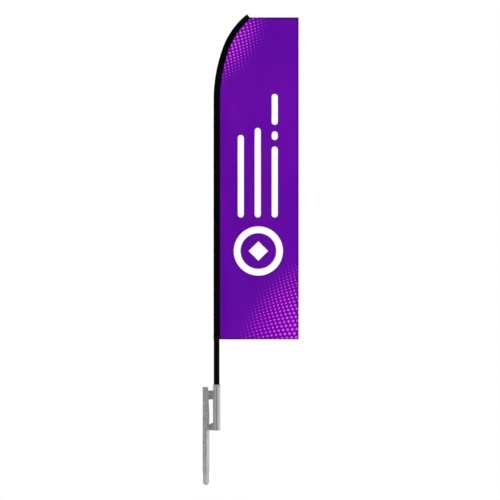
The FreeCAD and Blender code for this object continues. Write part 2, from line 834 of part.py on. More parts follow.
def check(pieces):
    DOC.recompute()
    faults = [o.Label for o in DOC.Objects if {"Invalid", "Error"} & set(o.State)]
    for piece in pieces:
        if piece.Shape.isNull() or not piece.Shape.isValid() or not piece.Shape.Solids:
            faults.append(piece.Label + " has no valid shape")
    if faults:
        raise RuntimeError("; ".join(faults))


def write(pieces):
    os.makedirs("parts", exist_ok=True)
    for piece in pieces:
        piece.Shape.exportStep(f"parts/{piece.Label}.step")
        solids = len(piece.Shape.Solids)
        print(f"{piece.Label}: {solids} solid(s), {piece.Shape.Volume / 1000:.2f} cm3")


def main():
    spike = make_spike()
    high, low = make_links()
    tube, plate, bush = make_socket()
    welds = make_welds(spike, high, low)
    pole = make_tubes()
    pieces = [spike, high, low, tube, plate, bush, *welds]
    pieces += [make_cup(), make_foot_plug(), *pole, *make_ferrule(), *make_rod()]
    pieces += [*make_sleeve(), make_panel()]
    check(pieces)
    write(pieces)


main()
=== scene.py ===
# %% [markdown]
# # A feather flag on its pole
# The flag is a violet printed panel sewn to a black sleeve. The sleeve slides over a pole whose top is
# bent, and the pole stands in the socket of a steel ground stake. The mechanical model already has every
# metal and plastic part in its place, so this lesson adds what cloth and finish need: rippled cloth, hems
# and stitches, weld beads, and a material for every surface. All lengths are in metres.

# %% Load the mechanical model
import math

import bpy
import numpy as np
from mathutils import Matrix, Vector, noise


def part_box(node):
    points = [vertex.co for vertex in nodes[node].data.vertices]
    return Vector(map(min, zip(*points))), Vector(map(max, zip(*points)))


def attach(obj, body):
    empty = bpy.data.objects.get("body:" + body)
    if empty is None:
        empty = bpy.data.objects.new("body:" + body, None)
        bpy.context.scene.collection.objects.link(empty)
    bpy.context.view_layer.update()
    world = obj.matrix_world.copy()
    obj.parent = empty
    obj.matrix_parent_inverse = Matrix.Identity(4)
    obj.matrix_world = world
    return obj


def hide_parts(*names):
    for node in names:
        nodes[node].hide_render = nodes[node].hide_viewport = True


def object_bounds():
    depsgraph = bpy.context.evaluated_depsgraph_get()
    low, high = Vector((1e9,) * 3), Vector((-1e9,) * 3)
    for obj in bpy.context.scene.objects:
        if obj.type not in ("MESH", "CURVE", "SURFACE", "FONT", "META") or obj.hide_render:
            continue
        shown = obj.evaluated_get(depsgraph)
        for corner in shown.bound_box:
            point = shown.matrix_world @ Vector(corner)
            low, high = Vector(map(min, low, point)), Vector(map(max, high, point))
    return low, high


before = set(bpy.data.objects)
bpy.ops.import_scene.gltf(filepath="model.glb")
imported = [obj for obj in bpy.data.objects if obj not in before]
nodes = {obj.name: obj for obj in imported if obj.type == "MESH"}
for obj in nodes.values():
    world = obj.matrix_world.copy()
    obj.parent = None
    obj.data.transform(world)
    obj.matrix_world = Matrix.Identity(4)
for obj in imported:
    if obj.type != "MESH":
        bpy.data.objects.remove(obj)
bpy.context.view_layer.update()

MM = 0.001
scene = bpy.context.scene

# %% [markdown]
# ## The camera
# The flag is seen square on from its front, from so far away that nothing converges. A long lens does
# that. The camera stands at half the height of the view, so the horizon lies there too.

# %% Stand the camera in front of the flag
VIEW_WIDTH = 3.3
VIEW_MIDDLE = Vector((0.2204, 0, 1.1893))
LENS = 135
SENSOR = 36
SEES_TO = 100


def stand_camera():
    data = bpy.data.cameras.new("front_camera")
    data.lens = LENS
    data.sensor_width = SENSOR
    camera = bpy.data.objects.new("front_camera", data)
    distance = VIEW_WIDTH * LENS / SENSOR
    camera.location = VIEW_MIDDLE - Vector((0, distance, 0))
    camera.rotation_euler = (math.pi / 2, 0, 0)
    data.clip_end = SEES_TO
    scene.collection.objects.link(camera)
    scene.camera = camera
    return distance


print("camera distance", round(stand_camera(), 3))

# %% [markdown]
# ## Wires instead of boxes
# A material is a tree of nodes. Sums made of nodes are long to write, so a Wire stands for one value that
# runs through the tree, and adding or multiplying two wires adds the node that does it.

# %% A wire carries a value through a node tree
class Wire:
    def __init__(self, tree, socket):
        self.tree = tree
        self.socket = socket

    def math(self, operation, *others):
        return new_wire(self.tree, "Math", enumerate((self, *others)), operation=operation)

    def __add__(self, other):
        return self.math("ADD", other)

    def __sub__(self, other):
        return self.math("SUBTRACT", other)

    def __mul__(self, other):
        return self.math("MULTIPLY", other)

    def __truediv__(self, other):
        return self.math("DIVIDE", other)

    def size(self):
        return self.math("ABSOLUTE")

    def step(self, low, high):
        """0 below low and 1 above high, with a soft slope between. High may be the smaller one."""
        sockets = enumerate((self, low, high, 0.0, 1.0))
        return new_wire(self.tree, "MapRange", sockets, interpolation_type="SMOOTHSTEP")


def plug_in(tree, value, plug):
    if isinstance(value, Wire):
        tree.links.new(value.socket, plug)
    else:
        plug.default_value = value


def new_wire(tree, kind, sockets=(), out=0, **settings):
    """One output of a new node. Sockets pairs names or numbers with values, which may be wires."""
    node = tree.nodes.new("ShaderNode" + kind)
    for name, value in settings.items():
        setattr(node, name, value)
    for plug, value in dict(sockets).items():
        plug_in(tree, value, node.inputs[plug])
    return Wire(tree, node.outputs[out])


# %% Small makers for the nodes that the finishes share
def mix(share, first, second):
    """A colour between two others. Each may be a wire or a plain colour."""
    tree = share.tree
    node = tree.nodes.new("ShaderNodeMix")
    node.data_type = "RGBA"
    plugs = {plug.identifier: plug for plug in node.inputs}
    for name, value in (("Factor_Float", share), ("A_Color", first), ("B_Color", second)):
        plug_in(tree, value if isinstance(value, (Wire, float)) else (*value, 1.0), plugs[name])
    return Wire(tree, next(out for out in node.outputs if out.identifier == "Result_Color"))


def split(place):
    """The x, y and z of a place, as three wires."""
    node = place.tree.nodes.new("ShaderNodeSeparateXYZ")
    plug_in(place.tree, place, node.inputs[0])
    return [Wire(place.tree, out) for out in node.outputs]


def join(tree, x, y, z):
    return new_wire(tree, "CombineXYZ", enumerate((x, y, z)))


def hypotenuse(first, second):
    return (first * first + second * second).math("SQRT")


def wave(value, pitch):
    """A sine that repeats every pitch metres."""
    return (value * (math.tau / pitch)).math("SINE")


def stretched(place, along):
    """The place scaled by three numbers, for textures with a grain."""
    x, y, z = split(place)
    return join(place.tree, x * along[0], y * along[1], z * along[2])


def speckle(place, scale, detail=2.0, roughness=0.5):
    sockets = {"Vector": place, "Scale": scale, "Detail": detail, "Roughness": roughness}
    return new_wire(place.tree, "TexNoise", sockets, "Fac")


def crystals(place, scale):
    """A random grey for each cell of a pattern of cells."""
    colour = new_wire(place.tree, "TexVoronoi", {"Vector": place, "Scale": scale}, "Color")
    return new_wire(place.tree, "RGBToBW", enumerate([colour]))


def bumps(height, depth, strength=1.0):
    """A surface that rises by depth metres where height is 1."""
    sockets = {"Strength": strength, "Distance": depth, "Height": height}
    return new_wire(height.tree, "Bump", sockets)


# %% Start a material, and find where a point lies on the piece
def start_finish(name, **plain):
    """A material with plain values on its shader's sockets. Returns it with its tree."""
    material = bpy.data.materials.new(name)
    material.use_nodes = True
    shader = material.node_tree.nodes["Principled BSDF"]
    for socket, value in plain.items():
        shader.inputs[socket.replace("_", " ")].default_value = value
    return material, material.node_tree


def set_wires(tree, **wires):
    shader = tree.nodes["Principled BSDF"]
    for socket, wire in wires.items():
        tree.links.new(wire.socket, shader.inputs[socket.replace("_", " ")])


def on_piece(tree):
    """The point's place in the object's own frame."""
    return new_wire(tree, "TexCoord", out="Object")


def on_cut(tree):
    """The point's place on the flat cloth before it was sewn, which every cloth piece stores."""
    return new_wire(tree, "Attribute", out="Vector", attribute_name="cut")


# %% [markdown]
# ## The line of the pole
# Pole, sleeve and seam all follow one line: straight up, then a gentle arc, then a tighter one. The same
# three stretches shape the mechanical model, so the line's end is compared with the end of its sleeve.

# %% Follow the pole's line by its length from the ground
def share_between(value, start, stop):
    """0 at start and 1 at stop, and no further on either side."""
    return min(max((value - start) / (stop - start), 0), 1)


def eased(share):
    """The same share, but leaving 0 and reaching 1 gently."""
    return share * share * (3 - 2 * share)


def round_turns(count):
    """Angles spread evenly round a circle."""
    return [math.tau * step / count for step in range(count)]


BEND_FOOT = 2.178
ARCS = [(0.990, math.radians(20.8)), (0.476, math.radians(30.4))]
KNEE = BEND_FOOT + ARCS[0][0] * ARCS[0][1]
LINE_END = KNEE + ARCS[1][0] * ARCS[1][1]


def along_pole(length):
    """The point on the line, and its lean from the upright in radians."""
    point, lean = Vector((0, 0, min(length, BEND_FOOT))), 0.0
    left = length - BEND_FOOT
    for radius, turned in ARCS:
        if left <= 0:
            break
        angle = min(left / radius, turned)
        centre = point + Vector((math.cos(lean), 0, -math.sin(lean))) * radius
        lean += angle
        point = centre - Vector((math.cos(lean), 0, -math.sin(lean))) * radius
        left -= radius * angle
    if length > LINE_END:
        point = point + Vector((math.sin(lean), 0, math.cos(lean))) * left
    return point, lean


def beside_pole(length, inwards, forwards=0.0):
    """A point beside the line: inwards is towards the flag, forwards is towards the front."""
    point, lean = along_pole(length)
    return point + Vector((math.cos(lean), 0, -math.sin(lean))) * inwards - Vector((0, forwards, 0))


sleeve_low, sleeve_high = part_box("pole_sleeve")
line_end = along_pole(LINE_END)[0]
print("line ends", [round(v, 4) for v in line_end], "sleeve's corner", [round(v, 4) for v in sleeve_high])

# %% [markdown]
# ## The shape of the sleeve
# The sleeve is a tube of cloth round the pole. Where its two layers meet they are sewn together with the
# panel between them, so its section is a drop: a circle that runs out into a narrow flange. Up in the bend
# it has only a thin rod inside, so there it is flatter from front to back, and it tapers to its end.

# %% Give the sleeve's section at any length
SLEEVE_FOOT = sleeve_low.z
SLEEVE_R = -sleeve_low.x
SLEEVE_END_R = 17 * MM
SLEEVE_END_DEPTH = 12.5 * MM
CLOTH = 0.5 * MM
DROP_ANGLE = math.radians(18)
FLANGE_HALF = 0.6 * MM
FLANGE_REACH = 1.1 * MM
FLANGE_FLAT = 0.7 * FLANGE_REACH
# The inside layer has no flange: distances back from its nose, with half the depth at each.
BARE_NOSE = [(1.2 * MM, 0.45 * MM), (0.7 * MM, 0.3 * MM), (0.4 * MM, 0.0)]
ROUND_STEPS = 20


def sleeve_size(length):
    """Half the sleeve's width and half its depth."""
    taper = share_between(length, KNEE, LINE_END)
    flat = eased(share_between(length, BEND_FOOT, LINE_END))
    width = SLEEVE_R + (SLEEVE_END_R - SLEEVE_R) * taper
    return width, SLEEVE_R + (SLEEVE_END_DEPTH - SLEEVE_R) * flat


def drop_section(width, depth, flange=True):
    """Points round the section as (inwards, forwards), from the seam round the back of the pole."""
    half = []
    for step in range(ROUND_STEPS + 1):
        angle = math.pi + (DROP_ANGLE - math.pi) * step / ROUND_STEPS
        half.append((width * math.cos(angle), depth * math.sin(angle)))
    nose = width / math.cos(DROP_ANGLE)
    if flange:
        half += [(nose - FLANGE_HALF, FLANGE_HALF), (nose + FLANGE_FLAT, FLANGE_HALF)]
        tip = (nose + FLANGE_REACH, 0.0)
    else:
        *edges, tip = [(nose - back, deep) for back, deep in BARE_NOSE]
        half += edges
    mirrored = [(inwards, -forwards) for inwards, forwards in reversed(half[1:])]
    return half + [tip] + mirrored


def seam_reach(length):
    """How far from the line the seam's outer edge lies."""
    return sleeve_size(length)[0] / math.cos(DROP_ANGLE) + FLANGE_REACH


print("section points", len(drop_section(SLEEVE_R, SLEEVE_R)))

# %% [markdown]
# ## Meshes from grids
# Cloth is woven in rows, so its meshes are grids too. One helper turns rows of points into quads, and
# each point also stores where it lay on the flat cloth. The weave and the print read that, which keeps
# them straight on the cloth however it hangs.

# %% Turn rows of points into a mesh
def quads(index, flip=False):
    """Faces between the rows of a table of point numbers."""
    corners = np.stack([index[:-1, :-1], index[:-1, 1:], index[1:, 1:], index[1:, :-1]], axis=-1)
    corners = corners.reshape(-1, 4)
    return (corners[:, ::-1] if flip else corners).tolist()


def loft(rings, closed=False, capped=False):
    """Points and faces over a list of rings. Closed joins the last ring to the first."""
    count, around = len(rings), len(rings[0])
    index = np.arange(count * around).reshape(count, around)
    index = np.hstack([index, index[:, :1]])
    if closed:
        index = np.vstack([index, index[:1]])
    faces = quads(index)
    if capped:
        faces += [list(range(around))[::-1], list(range((count - 1) * around, count * around))]
    return [point for ring in rings for point in ring], faces


def make_piece(name, points, faces, cut=None, smooth=True):
    """A new mesh object. Cut is the place of each point on the flat cloth."""
    mesh = bpy.data.meshes.new(name)
    mesh.from_pydata([tuple(point) for point in points], [], faces)
    if cut is not None:
        store = mesh.attributes.new("cut", "FLOAT_VECTOR", "POINT")
        store.data.foreach_set("vector", np.asarray(cut, np.float32).ravel())
    mesh.polygons.foreach_set("use_smooth", [smooth] * len(mesh.polygons))
    mesh.validate()
    piece = bpy.data.objects.new(name, mesh)
    scene.collection.objects.link(piece)
    return piece


def merged(meshes):
    """Several pairs of points and faces as one pair."""
    points, faces = [], []
    for more, more_faces in meshes:
        shift = len(points)
        points += more
        faces += [[corner + shift for corner in face] for face in more_faces]
    return points, faces


def finish_with(piece, material):
    piece.data.materials.clear()
    piece.data.materials.append(material)


def clad(piece, material, body, replaced=()):
    """Gives a piece its material and the body that it rides on, and hides the nodes it stands for."""
    finish_with(piece, material)
    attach(piece, body)
    if replaced:
        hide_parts(*replaced)
    print(piece.name, len(piece.data.polygons), "faces")
    return piece


# %% [markdown]
# ## The panel's outline and its hems
# The panel is cut straight on three sides, and along the sleeve it follows the bend. Three sides are
# hemmed: the edge is folded over and sewn down, so it is three layers thick and round at the fold. The
# rows and columns of the grid crowd together at the hems, which lets the step of the hem be real shape.

# %% Lay out the rows and columns of the panel
panel_low, panel_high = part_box("flag_panel")
FLY_EDGE = panel_high.x
FLAG_FOOT, FLAG_TOP = panel_low.z, panel_high.z
HEM = 11 * MM
ONE_LAYER = 0.3 * MM
FOLD = 0.5 * MM
STITCH_INSET = 8.5 * MM
CELL = 8.5 * MM
# Distances from a hemmed edge where the thickness changes, and half the thickness at each.
HEM_STEPS = [
    (0.0, 0.0),
    (0.12 * MM, 0.32 * MM),
    (FOLD, 0.5 * MM),
    (2.5 * MM, 0.54 * MM),
    (STITCH_INSET - 1.6 * MM, 0.52 * MM),
    (STITCH_INSET, 0.38 * MM),
    (STITCH_INSET + 1.4 * MM, 0.48 * MM),
    (HEM, 0.42 * MM),
    (HEM + 0.5 * MM, ONE_LAYER / 2),
]


def spread(start, stop, pitch):
    """Evenly spaced values from start to stop, both included."""
    return list(np.linspace(start, stop, max(2, round((stop - start) / pitch) + 1)))


hem_distances = [distance for distance, _ in HEM_STEPS]
heights = np.array(
    [FLAG_FOOT + d for d in hem_distances]
    + spread(FLAG_FOOT + HEM + CELL, FLAG_TOP - HEM - CELL, CELL)
    + [FLAG_TOP - d for d in reversed(hem_distances)]
)
# The panel starts inside the sleeve's flange, which holds its first few millimetres flat.
SEAM_SIDE = 20 * MM
HELD = 4 * MM
widths = np.array(
    [SEAM_SIDE]
    + spread(SEAM_SIDE + HELD, FLY_EDGE - HEM - CELL, CELL)
    + [FLY_EDGE - d for d in reversed(hem_distances)]
)


def half_thickness(distance):
    return np.interp(distance, *zip(*HEM_STEPS))


print("panel grid", len(heights), "rows of", len(widths))

# %% [markdown]
# ## Wind in the cloth
# A flag this size is nearly flat when the air is still, but it is never a board. A coarse copy of it is
# sewn at the sleeve, held along the top and blown at from the side, and Blender's cloth solver bends it.
# Its waves are then laid on the fine grid, scaled down, because a taut flag shows only soft ones.

# %% Blow a coarse copy of the panel
BLOWN_CELL = 22 * MM
BLOWN_FRAMES = 50
SLACK = 0.01
WAVE_DEPTH = 20 * MM
# A flat sheet has no side to buckle to, so it starts with a faint ripple: its depth and its slant.
FIRST_RIPPLE = 0.4 * MM
RIPPLE_SLANT = (9, 5)


def blown_cloth(across, up):
    by_x, by_z = RIPPLE_SLANT
    points = [(x, FIRST_RIPPLE * math.sin(by_x * x + by_z * z), z) for z in up for x in across]
    index = np.arange(len(points)).reshape(len(up), len(across))
    sheet = make_piece("blown_cloth", points, quads(index))
    sewn = sheet.vertex_groups.new(name="sewn")
    held = [n for n, (x, _, z) in enumerate(points) if x < across[0] + MM or z > up[-1] - MM]
    sewn.add(held, 1.0, "REPLACE")
    cloth = sheet.modifiers.new("cloth", "CLOTH").settings
    cloth.quality = 6
    cloth.mass = 0.12
    cloth.bending_stiffness = 0.4
    cloth.air_damping = 1.5
    cloth.shrink_min = -SLACK
    cloth.vertex_group_mass = "sewn"
    cloth.effector_weights.gravity = 0.4
    return sheet


def side_wind():
    bpy.ops.object.effector_add(type="WIND", location=(-2, -1.5, 1.2))
    wind = bpy.context.object
    wind.rotation_euler = (math.radians(90), 0, math.radians(-62))
    wind.field.strength = 60
    wind.field.noise = 3
    wind.field.seed = 3
    return wind


def blown_waves():
    """How far forward the cloth stands, on a coarse grid of heights by widths."""
    across = np.linspace(SEAM_SIDE, FLY_EDGE, round((FLY_EDGE - SEAM_SIDE) / BLOWN_CELL) + 1)
    up = np.linspace(FLAG_FOOT, FLAG_TOP, round((FLAG_TOP - FLAG_FOOT) / BLOWN_CELL) + 1)
    sheet, wind = blown_cloth(across, up), side_wind()
    for number in range(1, BLOWN_FRAMES + 1):
        scene.frame_set(number)
    settled = sheet.evaluated_get(bpy.context.evaluated_depsgraph_get()).to_mesh()
    forward = np.array([-vertex.co.y for vertex in settled.vertices]).reshape(len(up), len(across))
    scene.frame_set(1)
    for done in (wind, sheet):
        bpy.data.objects.remove(done)
    return across, up, forward * WAVE_DEPTH / np.ptp(forward)


blown_across, blown_up, blown = blown_waves()
print("waves from", round(float(blown.min()), 4), "to", round(float(blown.max()), 4))

# %% [markdown]
# The coarse waves are carried to the fine grid with a smooth curve through the coarse points, so no facet
# shows. Close to the sleeve the waves fade out, because there the seam holds the cloth flat. Instead the
# thread gathers it into small puckers, which the hems have too.

# %% Carry the waves to the fine grid
SEAM_FADE = 45 * MM
PUCKER = 2.2 * MM
PUCKER_RISE = 7.8 * MM
PUCKER_REACH = 26 * MM
PUCKERS_PER_METRE = (22, 38)
# The puckers at a hem are this share of those at the seam.
HEM_SHARE = 0.6
SEAM_SPOTS = 400
# Above the sleeve's end the rows start over its lid: this far above it, and this far in from its side.
LID_GAP = 1.2 * MM
LID_REACH = 12 * MM


def resampled(values, old, new):
    """Smooth curves through the rows of values, read at new places along the first axis."""
    place = np.interp(new, old, np.arange(len(old)))
    index = np.clip(place.astype(int), 0, len(old) - 2)
    part = (place - index)[:, None]
    before, start, stop, after = (
        values[np.clip(index + shift, 0, len(old) - 1)] for shift in (-1, 0, 1, 2)
    )
    slope_in, slope_out = (stop - before) / 2, (after - start) / 2
    bend = 3 * (stop - start) - 2 * slope_in - slope_out
    twist = slope_in + slope_out - 2 * (stop - start)
    return start + part * (slope_in + part * (bend + part * twist))


def seam_line():
    """Heights and distances where the rows of cloth start: the sleeve's inner side, then its end."""
    lengths = np.linspace(SLEEVE_FOOT, LINE_END, SEAM_SPOTS)
    spots = [beside_pole(length, sleeve_size(length)[0]) for length in lengths]
    spots.append(beside_pole(LINE_END + LID_GAP, SLEEVE_END_R - LID_REACH))
    return [spot.z for spot in spots], [spot.x for spot in spots]


seam_z, seam_x = seam_line()


def panel_places():
    """The x of every grid point: spread from seam to hem, and at fixed distances over the hem."""
    hem_zone = HEM + CELL
    start = np.interp(heights, seam_z, seam_x)[:, None]
    reach = (FLY_EDGE - widths)[None, :]
    squeeze = (FLY_EDGE - start - hem_zone) / (FLY_EDGE - SEAM_SIDE - hem_zone)
    return FLY_EDGE - np.where(reach <= hem_zone, reach, hem_zone + (reach - hem_zone) * squeeze)


def puckered(x, z, gap):
    """How far one point stands forward in the puckers beside its nearest row of thread."""
    from_hem = min(FLY_EDGE - x, z - FLAG_FOOT, FLAG_TOP - z)
    by_seam = math.exp(-gap / PUCKER_REACH) * min(gap / PUCKER_RISE, 1)
    by_hem = HEM_SHARE * math.exp(-from_hem / PUCKER_REACH) * min(from_hem / HEM, 1)
    across, up = PUCKERS_PER_METRE
    return PUCKER * (by_seam + by_hem) * noise.noise(Vector((x * across, 0.5, z * up)))


panel_x = panel_places()
panel_z = np.repeat(heights[:, None], len(widths), axis=1)
from_seam = panel_x - panel_x[:, :1]
coarse_rows = resampled(blown, blown_up, heights)
panel_y = np.empty_like(panel_x)
for row, places in enumerate(panel_x):
    line = resampled(coarse_rows[row][:, None], blown_across, places)[:, 0]
    gaps = np.maximum(from_seam[row] - HELD, 0)
    free = np.clip(gaps / SEAM_FADE, 0, 1)
    small = [puckered(x, heights[row], gap) for x, gap in zip(places, gaps)]
    panel_y[row] = -line * eased(free) - np.array(small)
print("fine waves", round(float(np.ptp(panel_y)), 4), "deep")

# %% [markdown]
# ## The printed panel
# The panel is one closed skin: a front layer and a back layer that meet at the folds. Its thickness steps
# up over the hems and dips under the line of stitches, as thread pulls cloth in.

# %% Build the panel
def panel_skin():
    from_fly = FLY_EDGE - panel_x
    from_end = np.minimum(panel_z - FLAG_FOOT, FLAG_TOP - panel_z)
    half = np.minimum(half_thickness(from_fly), half_thickness(from_end))
    in_hem = np.maximum(half_thickness(from_fly), half_thickness(from_end))
    rim = np.zeros(panel_x.shape, bool)
    rim[[0, -1], :] = True
    rim[:, [0, -1]] = True
    inside = (from_fly > FOLD) & (from_end > FOLD)
    half = np.where(inside, in_hem, half)
    half[:, 0] = 0
    front = np.arange(rim.size).reshape(rim.shape)
    back = front.copy()
    back[~rim] = rim.size + np.arange((~rim).sum())
    points = np.stack([panel_x, panel_y - half, panel_z], axis=-1).reshape(-1, 3)
    behind = np.stack([panel_x, panel_y + half, panel_z], axis=-1)[~rim]
    # A flat place is x and z, so its y is free to hold the distance from the seam.
    flat = np.stack([panel_x, from_seam, panel_z], axis=-1)
    cut = np.vstack([flat.reshape(-1, 3), flat[~rim]])
    return np.vstack([points, behind]), quads(front) + quads(back, flip=True), cut


panel = make_piece("printed_panel", *panel_skin())
print("panel", len(panel.data.vertices), "points")

# %% [markdown]
# ## The sleeve
# The sleeve is one strip of cloth with an outside and an inside, joined at its two ends. Faint creases run
# round it where the cloth is pulled, and they only ever stand outwards, which keeps it clear of the pole.

# %% Build the sleeve along the pole
SLEEVE_PITCH = 9 * MM
CREASE = 0.7 * MM
CREASES_PER_METRE = 16
FINE_CREASES = 3.1
SLOW_SHARE = 0.75
# Creases start this many drop angles away from the seam.
CREASES_FROM = 1.2


def crease(length, angle):
    """How far the cloth stands off at one place, from none to CREASE."""
    slant = math.sin(angle) * 0.9
    tilted = Vector((length * CREASES_PER_METRE + slant, math.cos(angle) * 0.8, length * 3))
    slow = noise.noise(tilted) * 0.5 + 0.5
    fine = noise.noise(tilted * FINE_CREASES) * 0.5 + 0.5
    return CREASE * (SLOW_SHARE * slow + (1 - SLOW_SHARE) * fine)


def section_ring(length, outwards=0.0, flange=True, creased=False):
    """The sleeve's section at one length, as points in space."""
    width, depth = sleeve_size(length)
    ring = []
    for inwards, forwards in drop_section(width + outwards, depth + outwards, flange):
        if creased:
            angle = math.atan2(forwards, inwards)
            away = min(max(abs(angle) / DROP_ANGLE - CREASES_FROM, 0), 1)
            stand = 1 + crease(length, angle) * away / width
            inwards, forwards = inwards * stand, forwards * stand
        ring.append(beside_pole(length, inwards, forwards))
    return ring


def cut_of(rings, lengths):
    """Where ring points lie on the flat strip: distance round the ring, and length along it."""
    cut = []
    for ring, length in zip(rings, lengths):
        steps = [0.0] + [(b - a).length for a, b in zip(ring, ring[1:])]
        cut += [(x, 0.0, length) for x in np.cumsum(steps)]
    return cut


def strip(name, lengths, inner, outers, creased=False):
    """A closed strip round the pole, from an inner distance out to a distance for each length.

    Both are distances from the sleeve's outside."""
    outside = [section_ring(length, outer, creased=creased) for length, outer in zip(lengths, outers)]
    inside = [section_ring(length, inner, flange=False) for length in lengths]
    rings = outside + inside[::-1]
    points, faces = loft(rings, closed=True)
    return make_piece(name, points, faces, cut_of(rings, lengths + lengths[::-1]))


sleeve_lengths = spread(SLEEVE_FOOT, LINE_END, SLEEVE_PITCH)
flush = [0.0] * len(sleeve_lengths)
sleeve = strip("pole_sleeve_cloth", sleeve_lengths, -CLOTH, flush, creased=True)
print("sleeve rings", len(sleeve_lengths))

# %% [markdown]
# ## The band at the sleeve's foot and the pocket at its top
# The open foot is bound with a folded band, so it doesn't fray on the pole. At the top the sleeve is
# closed by a pocket of heavy cloth, which takes the push of the rod's end. Both are made of the same rings
# as the sleeve, a little further out, with their edges rounded like folds.

# %% Build the band and the pocket
BAND_HEIGHT = 24 * MM
WEBBING = 0.8 * MM
CLEAR = 0.05 * MM
POCKET_LENGTH = 70 * MM
BAND_PITCH = 3 * MM
POCKET_PITCH = 5 * MM
# Distances from a folded edge, with the share of the full thickness there.
EDGE_ROUND = [(0.0, 0.35), (0.12 * MM, 0.7), (0.4 * MM, 0.95), (0.9 * MM, 1.0)]
# The lid's rings: distance past the sleeve's end, with the share of the full width.
LID_RINGS = [(-1.2 * MM, 1.0), (-0.2 * MM, 0.97), (0.5 * MM, 0.9), (0.8 * MM, 0.75), (0.8 * MM, 0.35)]
LID_START = 2 * MM
LID_CENTRE = LID_RINGS[-1][1]


def rounded_lengths(start, stop, pitch, both_ends=True):
    """Lengths with a share of the full thickness, so that the strip's edges are round."""
    rise = [(start + d, share) for d, share in EDGE_ROUND]
    fall = [(stop - d, share) for d, share in reversed(EDGE_ROUND)] if both_ends else []
    last = EDGE_ROUND[-1][0]
    middle = spread(start + last + pitch / 2, stop - last - pitch / 2, pitch)
    return rise + [(length, 1.0) for length in middle] + fall


def build_band():
    lengths, shares = zip(*rounded_lengths(SLEEVE_FOOT, SLEEVE_FOOT + BAND_HEIGHT, BAND_PITCH))
    outers = [WEBBING * share for share in shares]
    return strip("sleeve_foot_binding", list(lengths), CLEAR, outers)


def towards_middle(ring, share):
    middle = sum(ring, Vector()) / len(ring)
    return [middle.lerp(point, share) for point in ring]


def build_pocket():
    """Open at its foot, closed over the sleeve's end by a flat lid with rounded edges."""
    steps = rounded_lengths(LINE_END - POCKET_LENGTH, LINE_END, POCKET_PITCH, both_ends=False)
    steps = [step for step in steps if step[0] < LINE_END - LID_START]
    lengths = [length for length, _ in steps]
    outside = [section_ring(length, WEBBING * share) for length, share in steps]
    inside = [section_ring(length, CLEAR, flange=False) for length in lengths]
    inner_lengths = lengths + [LINE_END, LINE_END]
    last_outer = section_ring(LINE_END, WEBBING)
    for past, share in LID_RINGS:
        shift = beside_pole(LINE_END + past, 0) - beside_pole(LINE_END, 0)
        outside.append([point + shift for point in towards_middle(last_outer, share)])
    lengths += [LINE_END + past for past, _ in LID_RINGS]
    inside_lid = section_ring(LINE_END, CLEAR, flange=False)
    inside += [inside_lid, towards_middle(inside_lid, LID_CENTRE)]
    rings = inside[::-1] + outside
    points, faces = loft(rings, capped=True)
    cut = cut_of(rings, inner_lengths[::-1] + lengths)
    return make_piece("sleeve_tip_pocket", points, faces, cut)


band = build_band()
pocket = build_pocket()
print("band and pocket built")

# %% [markdown]
# ## Stitches
# Every seam is held by thread, and real stitches catch the light where a painted line can't. A stitch is a
# small grain of thread that dives into the cloth at both ends. A row needs only a function that gives
# the place and the outward direction at any distance, and the grains are laid one after another.

# %% Lay a row of stitches along any line
STITCH = 2.7 * MM
STITCH_GAP = 0.7 * MM
THREAD_R = 0.2 * MM
GRAIN_SIDES = 5
# Share of the way along a stitch, then its girth and how far it stands out, both in thread radii.
GRAIN_RINGS = [(0.0, 0.02, -0.6), (0.2, 0.9, 0.6), (0.5, 1.0, 0.9), (0.8, 0.9, 0.6), (1.0, 0.02, -0.6)]
GRAIN_POINTS = GRAIN_SIDES * len(GRAIN_RINGS)


def stitch_row(place, total):
    """Points and faces of stitches along place(distance), which gives a point and its outward way."""
    grains = []
    count = int(total / (STITCH + STITCH_GAP))
    for number in range(count):
        start = (number + 0.5) * total / count - STITCH / 2
        first, outward = place(start)
        last, _ = place(start + STITCH)
        sideways = (last - first).cross(outward).normalized()
        rings = []
        for share, girth, lift in GRAIN_RINGS:
            core = first.lerp(last, share) + outward * THREAD_R * lift
            offsets = [
                sideways * math.cos(turn) + outward * math.sin(turn) for turn in round_turns(GRAIN_SIDES)
            ]
            rings.append([core + offset * THREAD_R * girth for offset in offsets])
        grains.append(loft(rings, capped=True))
    return merged(grains)


def sewn_piece(name, rows):
    return make_piece(name, *merged(stitch_row(place, total) for place, total in rows))


def route(points):
    """The place at any distance along the points, as a function, and the whole length."""
    points = np.array(points)
    steps = np.linalg.norm(np.diff(points, axis=0), axis=1)
    run = np.concatenate([[0], np.cumsum(steps)])
    return lambda distance: Vector([np.interp(distance, run, axis) for axis in points.T]), run[-1]


# %% Stitch the three hems, front and back
def hem_row(xs, ys, zs, side):
    """A row over grid points of the panel. Side is -1 for the front and 1 for the back."""
    surface = ys + side * half_thickness(STITCH_INSET)
    point_at, total = route(np.stack([xs, surface, zs], axis=-1))
    return lambda distance: (point_at(distance), Vector((0, side, 0))), total


def hem_rows():
    row_low = int(np.argmin(abs(heights - (FLAG_FOOT + STITCH_INSET))))
    row_high = int(np.argmin(abs(heights - (FLAG_TOP - STITCH_INSET))))
    column = int(np.argmin(abs(widths - (FLY_EDGE - STITCH_INSET))))
    rows = []
    for side in (-1, 1):
        upright = slice(row_low, row_high + 1)
        rows.append(hem_row(panel_x[upright, column], panel_y[upright, column], heights[upright], side))
        for row in (row_low, row_high):
            level = slice(1, column + 1)
            flat_z = np.full(column, heights[row])
            rows.append(hem_row(panel_x[row, level], panel_y[row, level], flat_z, side))
    return rows


hem_stitches = sewn_piece("hem_stitches", hem_rows())
print("hem stitches", len(hem_stitches.data.vertices) // GRAIN_POINTS)

# %% [markdown]
# The seam between sleeve and panel is sewn along its flange. The band and the pocket are sewn with rows
# that run round the pole, so a row there follows the ring of the section.

